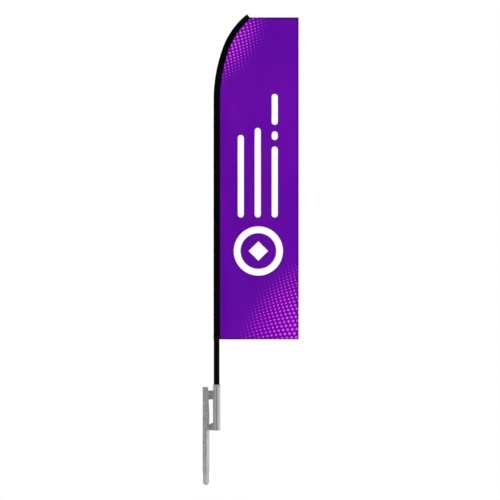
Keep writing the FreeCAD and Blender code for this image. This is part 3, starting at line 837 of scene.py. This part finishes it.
# %% Stitch the sleeve's seam, its band and its pocket
SEAM_MARGIN = 4 * MM
SEAM_INSET = 0.75 * FLANGE_REACH


def seam_row(side):
    start = SLEEVE_FOOT + BAND_HEIGHT + SEAM_MARGIN
    stop = LINE_END - POCKET_LENGTH - SEAM_MARGIN

    def place(distance):
        length = start + distance
        reach = seam_reach(length) - SEAM_INSET
        return beside_pole(length, reach, side * FLANGE_HALF), Vector((0, -side, 0))

    return place, stop - start


def ring_row(length, outwards):
    """Round the pole at one length, from seam to seam the long way."""
    ring = section_ring(length, outwards)
    seam = len(ring) // 2
    ring = ring[seam + 2 :] + ring[: seam - 1]
    point_at, total = route(ring)
    middle = beside_pole(length, 0)

    def place(distance):
        point = point_at(distance)
        return point, (point - middle).normalized()

    return place, total


BAND_ROWS = (4 * MM, 20 * MM)
POCKET_ROWS = (4 * MM, 9 * MM, 62 * MM)
sleeve_rows = [seam_row(side) for side in (-1, 1)]
sleeve_rows += [ring_row(SLEEVE_FOOT + up, WEBBING) for up in BAND_ROWS]
sleeve_rows += [ring_row(LINE_END - POCKET_LENGTH + up, WEBBING) for up in POCKET_ROWS]
sleeve_stitches = sewn_piece("sleeve_stitches", sleeve_rows)
print("sleeve stitches", len(sleeve_stitches.data.vertices) // GRAIN_POINTS)

# %% [markdown]
# ## Weld beads
# A weld is laid as a row of overlapping drops, each frozen against the one before. The mechanical model
# holds a plain bead in each corner, so its loose parts say where each weld runs. The new bead has the
# drops' ripple, a rounded start and end, and a slight wander.

# %% Lay rippled beads where the plain ones are
BEAD_R = 2.5 * MM
RIPPLE = 2.4 * MM
RIPPLE_DEPTH = 0.22
RINGS_PER_RIPPLE = 5
WANDER = 0.3 * MM
WANDERS_PER_METRE = 90
BEAD_SIDES = 14
BEAD_TIP = 0.02


def loose_parts(node):
    """Points of each separate piece in a mesh, found by following its edges."""
    mesh = nodes[node].data
    corners = np.round(np.array([vertex.co for vertex in mesh.vertices]), 5)
    spots, same = np.unique(corners, axis=0, return_inverse=True)
    edges = same.ravel()[np.array([edge.vertices[:] for edge in mesh.edges])]
    group = np.arange(len(spots))
    while not np.array_equal(group[edges[:, 0]], group[edges[:, 1]]):
        low = group[edges].min(axis=1)
        np.minimum.at(group, edges[:, 0], low)
        np.minimum.at(group, edges[:, 1], low)
    return [spots[group == number] for number in np.unique(group)]


def bead_rings(part, seed):
    low, high = part.min(0), part.max(0)
    middle = (low + high) / 2
    rings = []
    for z in np.arange(low[2], high[2], RIPPLE / RINGS_PER_RIPPLE):
        phase = (z - low[2]) / RIPPLE % 1.0
        end = min((z - low[2]) / BEAD_R, (high[2] - z) / BEAD_R, 1.0)
        girth = BEAD_R * (1 - RIPPLE_DEPTH * phase) * math.sqrt(max(1 - (1 - end) ** 2, BEAD_TIP))
        sway = noise.noise(Vector((seed * 3.7, z * WANDERS_PER_METRE, 0))) * WANDER
        core = Vector((middle[0] + sway, middle[1], z))
        ways = [Vector((math.cos(turn), math.sin(turn), 0)) for turn in round_turns(BEAD_SIDES)]
        rings.append([core + way * girth for way in ways])
    return rings


def build_beads(name, node):
    beads = [loft(bead_rings(part, n), capped=True) for n, part in enumerate(loose_parts(node))]
    print(name, "has", len(beads), "beads")
    return make_piece(name, *merged(beads))


socket_beads = build_beads("socket_weld_beads", "socket_welds")
spike_beads = build_beads("spike_weld_beads", "spike_welds")

# %% [markdown]
# ## Printed cloth
# The print is dyed into the cloth, so it is colour and nothing else. It has three layers: a violet ground,
# round dots that grow towards two of the corners, and plain white bars with a ring and a diamond. Over
# them lies
# a painted shade: a darker border where the hem doubles the cloth. Each is worked out from the place on
# the flat cloth.

# %% Layers of the print
VIOLET = (0.118, 0.0023, 0.32)
VIOLET_DEEP = (0.100, 0.0020, 0.30)
VIOLET_WARM = (0.150, 0.0008, 0.325)
DOT_PINK = (0.62, 0.072, 0.84)
DOT_FAINT = (0.34, 0.034, 0.62)
WHITE = (0.90, 0.90, 0.91)
# Painted shade over the hems, where the cloth lies doubled: its share and its colour.
HEM_SHADE = 0.45
HEM_SHADE_COLOUR = (0.02, 0.0, 0.05)
INK_EDGE = 0.5 * MM
KNIT = (1.5 * MM, 1.2 * MM)
# Painted shade in the pores between the knit's loops: its colour and its share.
PORE_SHADE_COLOUR = (0.012, 0.0, 0.04)
PORE_SHADE = 0.35
# Where the ground turns warm and the dots turn pink: distances inside the arc, from none to full.
WARM_EDGE = (-0.06, 0.08)
PINK_EDGE = (-0.08, 0.02)


def dot_patch(x, z, foot, lean, pitch, widening, steps, arc, size, growth, fade):
    """Round dots on a slanting grid that spreads past a line, and which grow inside a wide arc.

    Foot is a point on the line and lean the direction across it. Pitch is the grid's step at the line,
    and the step doubles over a distance of widening past the line. Steps lead from a dot to its two
    neighbours, each as pitches across the line and metres along it. Arc is the x, z and radius of the
    circle inside which the dots grow. Outside it they shrink, and are gone fade metres away. Returns how
    far inside the circle a point lies, and a mask of the dots."""
    (across_1, along_1), (across_2, along_2) = steps
    turn = across_1 * along_2 - across_2 * along_1
    ahead = (math.cos(lean), math.sin(lean))
    right, up = x - foot[0], z - foot[1]
    past = right * ahead[0] + up * ahead[1]
    along = up * ahead[0] - right * ahead[1]
    grown = past.math("MAXIMUM", 0.0)
    before = past.math("MINIMUM", 0.0)
    spread_out = grown / widening + 1.0
    count = spread_out.math("LOGARITHM", math.e) * (widening / pitch) + before / pitch
    first = (count * along_2 - along * across_2) / turn
    second = (along * across_1 - count * along_1) / turn
    first = first - first.math("ROUND")
    second = second - second.math("ROUND")
    off_across = (first * across_1 + second * across_2) * spread_out * pitch
    off_along = first * along_1 + second * along_2
    distance = hypotenuse(off_across, off_along)
    inside = hypotenuse(x - arc[0], z - arc[1]) * -1.0 + arc[2]
    radius = inside.math("MAXIMUM", 0.0) * growth + inside.math("MINIMUM", 0.0) * (size / fade) + size
    dots = distance.step(radius + INK_EDGE, radius - INK_EDGE)
    return inside, dots * inside.step(-fade, -0.4 * fade)


def bar(x, z, middle, low, high, half):
    """A bar with round ends."""
    over = ((z - (low + high) / 2).size() - ((high - low) / 2 - half)).math("MAXIMUM", 0.0)
    side = x - middle
    return hypotenuse(side, over).step(half + INK_EDGE, half - INK_EDGE)


# %% Put the print together
BAR_HALF = 20 * MM
BARS = [
    (0.1595, 1.404, 1.948),
    (0.2715, 1.404, 1.995),
    (0.3835, 1.404, 1.872),
    (0.3835, 1.915, 1.972),
    (0.3835, 2.015, 2.219),
]
RING_MIDDLE = (0.2755, 1.1827)
RING_R = 0.140
RING_HALF = 22 * MM
DIAMOND = 64 * MM
LOW_CORNER = {
    "foot": (0.5294, 1.0567),
    "lean": math.radians(-41.6),
    "pitch": 12.2 * MM,
    "widening": 0.33,
    "steps": ((1.03, 21.9 * MM), (1.3, -11.3 * MM)),
    "arc": (0.895, 0.452, 0.705),
    "size": 3.3 * MM,
    "growth": 0.023,
    "fade": 0.13,
}
HIGH_CORNER = {
    "foot": (0.293, 2.7073),
    "lean": math.radians(145),
    "pitch": 13.8 * MM,
    "widening": 0.20,
    "steps": ((1, 19.4 * MM), (1, -14.6 * MM)),
    "arc": (-0.314, 2.828, 0.598),
    "size": 4.0 * MM,
    "growth": 0.04,
    "fade": 0.13,
}


def dotted_ground(x, z, place):
    ground = mix(speckle(place, 1.6, 1.0).step(0.35, 0.65), VIOLET_DEEP, VIOLET)
    for corner in (LOW_CORNER, HIGH_CORNER):
        inside, dots = dot_patch(x, z, **corner)
        ground = mix(inside.step(*WARM_EDGE), ground, VIOLET_WARM)
        ground = mix(dots, ground, mix(inside.step(*PINK_EDGE), DOT_FAINT, DOT_PINK))
    return ground


def white_marks(x, z):
    marks = bar(x, z, *BARS[0], BAR_HALF)
    for spot in BARS[1:]:
        marks = marks.math("MAXIMUM", bar(x, z, *spot, BAR_HALF))
    right, up = x - RING_MIDDLE[0], z - RING_MIDDLE[1]
    ring = (hypotenuse(right, up) - RING_R).size().step(RING_HALF + INK_EDGE, RING_HALF - INK_EDGE)
    diamond = (right.size() + up.size()).step(DIAMOND + INK_EDGE, DIAMOND - INK_EDGE)
    return marks.math("MAXIMUM", ring).math("MAXIMUM", diamond)


def printed_cloth():
    material, tree = start_finish("printed_cloth", Specular_IOR_Level=0.02)
    place = on_cut(tree)
    x, _, z = split(place)
    colours = mix(white_marks(x, z), dotted_ground(x, z, place), WHITE)
    # Painted shade: the hems, where the cloth lies doubled, are darkened in the colour.
    edge = (x * -1.0 + FLY_EDGE).math("MINIMUM", z - FLAG_FOOT).math("MINIMUM", z * -1.0 + FLAG_TOP)
    doubled = edge.step(HEM + 0.5 * MM, HEM - 0.5 * MM)
    colours = mix(doubled * HEM_SHADE, colours, HEM_SHADE_COLOUR)
    # The knit's loops. The pores between them are painted darker: a painted shade.
    loops = wave(x, KNIT[0]) * wave(z, KNIT[1])
    pores = loops.step(0.55, 0.95)
    colours = mix(pores * PORE_SHADE, colours, PORE_SHADE_COLOUR)
    thread = speckle(stretched(place, (900, 0, 60)), 1.0, 1.0)
    pucker = speckle(stretched(place, (55, 0, 55)), 1.0, 1.0) * doubled
    relief = bumps(loops * 0.5 + thread * 0.5 + pucker, 0.22 * MM, 0.45)
    gloss = thread * 0.2 + 0.58
    set_wires(tree, Base_Color=colours, Roughness=gloss, Normal=relief)
    return material


PRINTED = printed_cloth()
clad(panel, PRINTED, "flag_and_tip", ["flag_panel"])

# %% [markdown]
# ## Black cloth, webbing and thread
# The sleeve is woven from black polyester. Up close its threads cross at right angles, and from a distance
# it swallows nearly all light. Webbing is the same with threads about twice as thick. Thread is twisted,
# so it has slanting ridges.

# %% Finishes for the black cloth
TWIST = 0.5 * MM


def woven(name, colour, lighter, pitch, depth, roughness):
    material, tree = start_finish(name, Roughness=roughness, Specular_IOR_Level=0.015)
    place = on_cut(tree)
    x, _, z = split(place)
    over = wave(x, pitch) * wave(z, pitch)
    worn = speckle(place, 35.0, 3.0).step(0.4, 0.8)
    colours = mix(worn, colour, lighter)
    # Painted sheen: the raised crossings of the threads are painted lighter.
    threads = over * 0.5 + 0.5
    colours = mix(threads * 0.7, colours, lighter)
    set_wires(tree, Base_Color=colours, Normal=bumps(threads, depth, 0.6))
    return material


def twisted(name, colour, lighter):
    material, tree = start_finish(name, Roughness=0.5)
    x, _, z = split(on_piece(tree))
    # The twist's ridges. Their crests are painted lighter: a painted highlight.
    strands = wave(x + z, TWIST) * 0.5 + 0.5
    set_wires(tree, Base_Color=mix(strands, colour, lighter), Normal=bumps(strands, 0.04 * MM, 0.5))
    return material


SLEEVE_CLOTH = woven(
    "black_polyester", (0.0004, 0.0004, 0.0005), (0.0017, 0.0017, 0.0020), 1.2 * MM, 0.12 * MM, 0.75
)
HEAVY_CLOTH = woven(
    "black_webbing", (0.0008, 0.0008, 0.0010), (0.0030, 0.0030, 0.0034), 2.2 * MM, 0.3 * MM, 0.7
)
BLACK_THREAD = twisted("black_thread", (0.004, 0.004, 0.0045), (0.012, 0.012, 0.013))
VIOLET_THREAD = twisted("violet_thread", (0.055, 0.001, 0.16), (0.10, 0.004, 0.26))
clad(sleeve, SLEEVE_CLOTH, "flag_and_tip", ["pole_sleeve"])
clad(band, HEAVY_CLOTH, "flag_and_tip", ["sleeve_foot_band"])
clad(pocket, HEAVY_CLOTH, "flag_and_tip", ["sleeve_top_pocket"])
clad(hem_stitches, VIOLET_THREAD, "flag_and_tip")
clad(sleeve_stitches, BLACK_THREAD, "flag_and_tip")

# %% [markdown]
# ## Metals
# The stake is dipped in molten zinc, which freezes in flat crystals: each patch of the surface has its own
# grey and its own gloss. Weld metal is rougher. The pole is powder coated, so its black has the faint
# dimples of orange peel, and the coat is rubbed where the bush holds it.

# %% Finishes for the metals
SOCKET_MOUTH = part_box("socket_tube")[1].z
RUBBED_REACH = 0.03
CRYSTAL_WARP = 0.012


def zinc(name, dark, light, crystal, roughness, dents):
    material, tree = start_finish(name, Metallic=0.5)
    place = on_piece(tree)
    wobble = speckle(place, 40.0, 2.0)
    x, y, z = split(place)
    warp = wobble * CRYSTAL_WARP
    warped = join(tree, x + warp, y + warp, z + warp)
    patch = crystals(warped, crystal)
    cloud = speckle(place, 9.0, 3.0)
    scratch = speckle(stretched(place, (900, 900, 12)), 1.0, 2.0).step(0.62, 0.75)
    colours = mix(patch * 0.6 + cloud * 0.4, dark, light)
    gloss = patch * 0.12 + roughness + scratch * 0.08
    relief = patch * 0.3 + speckle(place, 220.0, 3.0) * 0.7
    set_wires(tree, Base_Color=colours, Roughness=gloss, Normal=bumps(relief, dents, 0.07))
    return material


def bare_metal(name, dark, light, roughness, grain):
    """Drawn or ground metal, with fine lines along the way given by grain."""
    material, tree = start_finish(name, Metallic=1.0)
    lines = speckle(stretched(on_piece(tree), grain), 1.0, 3.0)
    gloss = lines * 0.2 + roughness
    relief = bumps(lines, 0.02 * MM, 0.4)
    set_wires(tree, Base_Color=mix(lines, dark, light), Roughness=gloss, Normal=relief)
    return material


def powder_coat():
    material, tree = start_finish("black_powder_coat", Specular_IOR_Level=0.02)
    place = on_piece(tree)
    peel = speckle(place, 420.0, 2.0)
    _, _, z = split(place)
    streaks = speckle(stretched(place, (60, 60, 900)), 1.0).step(0.45, 0.7)
    rubbed = (z - SOCKET_MOUTH).size().step(RUBBED_REACH, 0.0) * streaks
    colours = mix(rubbed * 0.5, (0.0012, 0.0012, 0.0013), (0.02, 0.02, 0.021))
    gloss = speckle(place, 25.0) * 0.12 + 0.42
    set_wires(tree, Base_Color=colours, Roughness=gloss, Normal=bumps(peel, 0.03 * MM, 0.3))
    return material


GALVANISED = zinc(
    "galvanised_steel", (0.29, 0.292, 0.294), (0.375, 0.377, 0.379), 62.0, 0.24, 0.05 * MM
)
WELD = zinc("weld_metal", (0.30, 0.30, 0.305), (0.46, 0.46, 0.465), 160.0, 0.42, 0.15 * MM)
POWDER = powder_coat()
ALUMINIUM = bare_metal(
    "bare_aluminium", (0.62, 0.63, 0.64), (0.80, 0.81, 0.82), 0.25, (900, 900, 15)
)
GROUND_STEEL = bare_metal(
    "ground_steel", (0.45, 0.45, 0.46), (0.62, 0.62, 0.63), 0.22, (15, 900, 900)
)
clad(socket_beads, WELD, "stake", ["socket_welds"])
clad(spike_beads, WELD, "stake", ["spike_welds"])

# %% [markdown]
# ## Plastics, fibreglass and rubber
# Moulded nylon has a fine grain from the mould. The rod is glass fibre in black resin: glossy, with the
# fibres just visible as lines along it. The cap is dull rubber.

# %% Finishes for plastic, fibreglass and rubber
def moulded(name, dark, light, roughness, depth):
    material, tree = start_finish(name)
    place = on_piece(tree)
    grain = speckle(place, 900.0, 2.0)
    cloud = speckle(place, 30.0, 2.0)
    gloss = cloud * 0.12 + roughness
    relief = bumps(grain, depth, 0.3)
    set_wires(tree, Base_Color=mix(cloud, dark, light), Roughness=gloss, Normal=relief)
    return material


def fibreglass():
    material, tree = start_finish("black_fibreglass", Coat_Weight=0.6, Coat_Roughness=0.12)
    fibres = speckle(stretched(on_piece(tree), (1400, 1400, 8)), 1.0, 2.0)
    colours = mix(fibres, (0.004, 0.004, 0.004), (0.014, 0.014, 0.013))
    gloss = fibres * 0.2 + 0.25
    set_wires(tree, Base_Color=colours, Roughness=gloss, Normal=bumps(fibres, 0.03 * MM, 0.4))
    return material


GREY_NYLON = moulded("grey_nylon", (0.17, 0.172, 0.175), (0.21, 0.213, 0.216), 0.42, 0.03 * MM)
BLACK_NYLON = moulded("black_nylon", (0.010, 0.010, 0.010), (0.018, 0.018, 0.018), 0.45, 0.03 * MM)
RUBBER = moulded("black_rubber", (0.012, 0.012, 0.012), (0.022, 0.021, 0.020), 0.75, 0.06 * MM)
FIBREGLASS = fibreglass()

NODE_FINISHES = {
    "spike_angle": GALVANISED,
    "upper_link_plate": GALVANISED,
    "lower_link_plate": GALVANISED,
    "socket_tube": GALVANISED,
    "socket_floor_plate": GALVANISED,
    "socket_mouth_bush": GREY_NYLON,
    "pivot_cup": BLACK_NYLON,
    "foot_plug": BLACK_NYLON,
    "base_pole_tube": POWDER,
    "middle_pole_tube": POWDER,
    "joint_coupler": ALUMINIUM,
    "coupler_pins": ALUMINIUM,
    "tip_ferrule": BLACK_NYLON,
    "ferrule_cross_pin": GROUND_STEEL,
    "tip_rod": FIBREGLASS,
    "tip_cap": RUBBER,
}
for name, material in NODE_FINISHES.items():
    finish_with(nodes[name], material)
print(len(NODE_FINISHES), "mechanical parts finished")

# %% [markdown]
# ## The sleeve's flat size
# The panel and the sleeve are sheets of cloth. The panel's top corner is cut away along the bend, and the
# sleeve is a strip wrapped once round the pole, so its flat size is once round its section by its length.

# %% Work out the flat size of the sleeve
STRAIGHT_PLACE = 1.0
ring = section_ring(STRAIGHT_PLACE)
sleeve_round = sum((b - a).length for a, b in zip(ring, ring[1:] + ring[:1]))
sleeve_flat = (sleeve_round, LINE_END - SLEEVE_FOOT)

# %% [markdown]
# ## Studio
# A plain pale floor, soft light from high in front and high behind, and a white surround. Bare steel
# shows what stands round it, so the surround is darker where the front faces look and bright at both
# sides. That gives the round socket a darker middle and a light right edge, while the steel angle shades
# its left one.

# %% Floor and lights
FLOOR_RADIUS = 0.7
FLOOR_SINK = 1 * MM
FLOOR_CORNERS = 96
FLOOR_GREY = (0.2, 0.2, 0.2)
FLOOR_GLOW = 0.68
FRONT_CARD = math.radians(33)
LEFT_CARD_AT = math.radians(67)
LEFT_CARD = math.radians(10)
CARD_BLUR = math.radians(4)
CARD_TOP = 0.5
CARD_TOP_BLUR = 0.25
WHITE_WALL = (1.6, 1.6, 1.6)
DARK_CARD = (0.12, 0.12, 0.12)
BACKDROP = (1.0, 1.0, 1.0)


def lay_floor():
    turns = round_turns(FLOOR_CORNERS)
    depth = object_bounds()[0][2] - FLOOR_SINK
    points = [(FLOOR_RADIUS * math.cos(t), FLOOR_RADIUS * math.sin(t), depth) for t in turns]
    floor = make_piece("floor", points, [list(range(len(points)))], smooth=False)
    material, tree = start_finish("pale_floor", Roughness=0.9, Emission_Strength=FLOOR_GLOW)
    shader = tree.nodes["Principled BSDF"]
    shader.inputs["Base Color"].default_value = (*FLOOR_GREY, 1)
    shader.inputs["Emission Color"].default_value = (1, 1, 1, 1)
    finish_with(floor, material)


def hang_sun(name, strength, towards, spread_degrees):
    data = bpy.data.lights.new(name, "SUN")
    data.energy = strength
    data.angle = math.radians(spread_degrees)
    sun = bpy.data.objects.new(name, data)
    sun.rotation_euler = Vector(towards).to_track_quat("-Z", "Y").to_euler()
    scene.collection.objects.link(sun)


def light_surround():
    """White all round, with a dark card in front of the stake and a narrow one to its left."""
    world = bpy.data.worlds.new("studio")
    scene.world = world
    world.use_nodes = True
    tree = world.node_tree
    x, y, z = split(new_wire(tree, "TexCoord", out="Generated"))
    aside = x.math("ARCTAN2", y * -1.0)
    front_card = aside.size().step(FRONT_CARD + CARD_BLUR, FRONT_CARD)
    left_card = (aside + LEFT_CARD_AT).size().step(LEFT_CARD + CARD_BLUR, LEFT_CARD)
    cards = front_card.math("MAXIMUM", left_card) * z.size().step(CARD_TOP + CARD_TOP_BLUR, CARD_TOP)
    surround = mix(cards, WHITE_WALL, DARK_CARD)
    seen = new_wire(tree, "LightPath", out="Is Camera Ray")
    plug_in(tree, mix(seen, surround, BACKDROP), tree.nodes["Background"].inputs["Color"])


lay_floor()
hang_sun("key", 1.65, (0.12, 0.62, -0.78), 25)
hang_sun("back_fill", 1.4, (-0.2, -0.62, -0.76), 40)
light_surround()
scene.view_settings.view_transform = "Standard"
print("studio lit")
